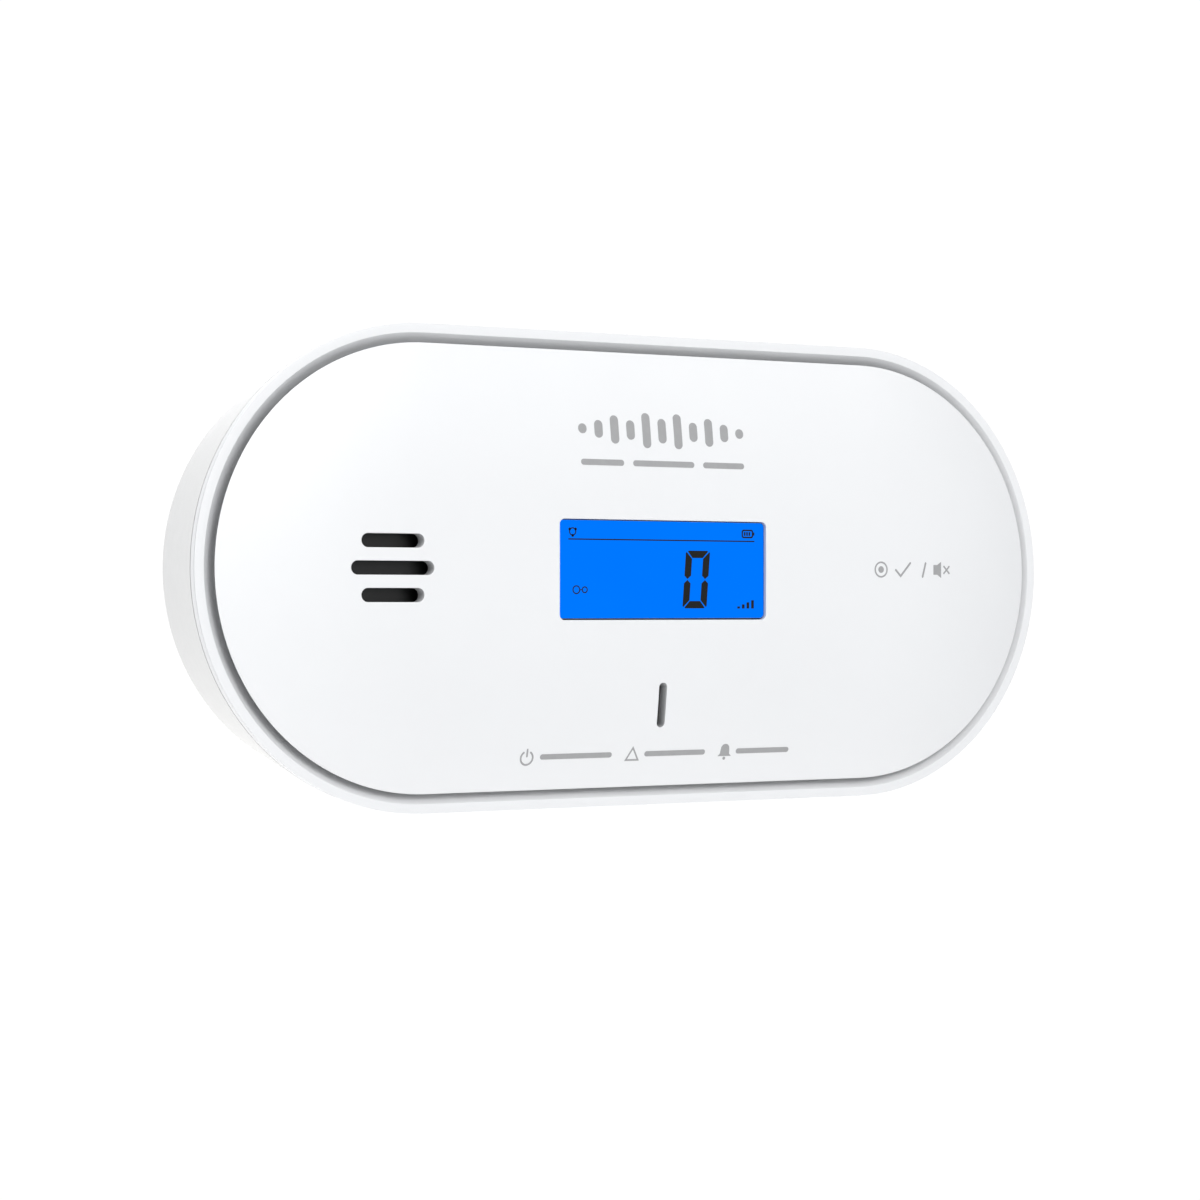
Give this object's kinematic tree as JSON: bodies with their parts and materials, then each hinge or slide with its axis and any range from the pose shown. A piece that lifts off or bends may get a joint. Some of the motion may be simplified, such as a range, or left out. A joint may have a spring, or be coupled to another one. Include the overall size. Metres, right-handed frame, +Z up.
{
  "type": "carbon monoxide detector",
  "caption": "Pill-shaped wall-mounted carbon monoxide detector with a crowned rocking front plate, backlit display, sounder slots and hook-on wall bracket.",
  "frame": {"origin": "middle of the wall plane, halfway between the two wall-screw holes", "axes": "+X to the right along the length, +Z up, +Y into the wall, so the display faces -Y"},
  "size_m": [0.1398, 0.033, 0.067],
  "materials": {
    "shell_white": "fine-grained satin white",
    "bracket_white": "matt white",
    "board_green": "solder-mask green",
    "screw_steel": "zinc plated",
    "pin_steel": "ground steel",
    "display_glass": "polished",
    "display_blue": "backlit blue film with dark segments",
    "holder_white": "matt white",
    "clear_plastic": "clear moulded",
    "led_white": "glossy",
    "elastomer": "matt",
    "switch_black": "matt",
    "plunger_grey": "matt",
    "cup_black": "matt",
    "brass": "rolled",
    "ceramic": "silvered ceramic",
    "foam": "open-cell foam",
    "membrane_black": "smooth acoustic film",
    "lead_red": "insulated wire",
    "sensor_steel": "drawn can",
    "filter_white": "matt",
    "gold_pin": "plated",
    "led_green": "clear green",
    "led_yellow": "clear yellow",
    "led_red": "clear red",
    "cell_jacket": "printed film jacket",
    "contact_nickel": "nickel plated",
    "chip_black": "moulded epoxy",
    "can_blue": "shrink sleeve",
    "ferrite": "ferrite",
    "crystal_can": "bright can",
    "component_brown": "ceramic"
  },
  "bodies": {
    "bracket": {"wall_bracket": "bracket_white"},
    "unit": {"rear_housing": "shell_white", "front_housing": "shell_white", "housing_screws": "screw_steel", "circuit_board": "board_green", "board_screws": "screw_steel", "lcd_holder": "holder_white", "lcd_glass": "display_glass", "lcd_polariser": "display_blue", "lcd_light_guide": "clear_plastic", "backlight_leds": "led_white", "elastomer_strips": "elastomer", "switch_body": "switch_black", "sounder_cup": "cup_black", "piezo_plate": "brass", "piezo_ceramic": "ceramic", "sounder_foam_ring": "foam", "sounder_leads": "lead_red", "sounder_membrane": "membrane_black", "sensor_can": "sensor_steel", "sensor_filter_cap": "filter_white", "sensor_base": "switch_black", "sensor_pins": "gold_pin", "led_green": "led_green", "led_yellow": "led_yellow", "led_red": "led_red", "led_light_bar": "clear_plastic", "led_shroud": "cup_black", "battery_upper": "cell_jacket", "battery_lower": "cell_jacket", "contact_bridge": "contact_nickel", "contact_positive": "contact_nickel", "contact_negative": "contact_nickel", "microcontroller": "chip_black", "display_driver": "chip_black", "capacitors": "can_blue", "sounder_coil": "ferrite", "crystal": "crystal_can", "chip_components": "component_brown"},
    "plate": {"front_plate": "shell_white", "plate_pivot_pin": "pin_steel"},
    "plunger": {"switch_plunger": "plunger_grey"},
    "door": {"battery_door": "shell_white"}
  },
  "joints": [
    {"name": "unit_lift", "type": "slide", "parent": "bracket", "child": "unit", "axis": [0, 0, 1], "range_m": [0, 0.007]},
    {"name": "plate_press", "type": "hinge", "parent": "unit", "child": "plate", "pos_m": [-0.0595, -0.0274, 0], "axis": [0, 0, 1], "range_deg": [0, 0.5], "stiffness_Nm_per_rad": 38, "springref_deg": -0.17},
    {"name": "switch_press", "type": "slide", "parent": "unit", "child": "plunger", "axis": [0, 1, 0], "range_m": [0, 0.00091]},
    {"name": "door_hinge", "type": "hinge", "parent": "unit", "child": "door", "pos_m": [0, -0.0048, -0.0173], "axis": [-1, 0, 0], "range_deg": [0, 90]}
  ],
  "couplings": [
    {"joint": "switch_press", "follows": "plate_press", "m_per_rad": 0.1038}
  ]
}
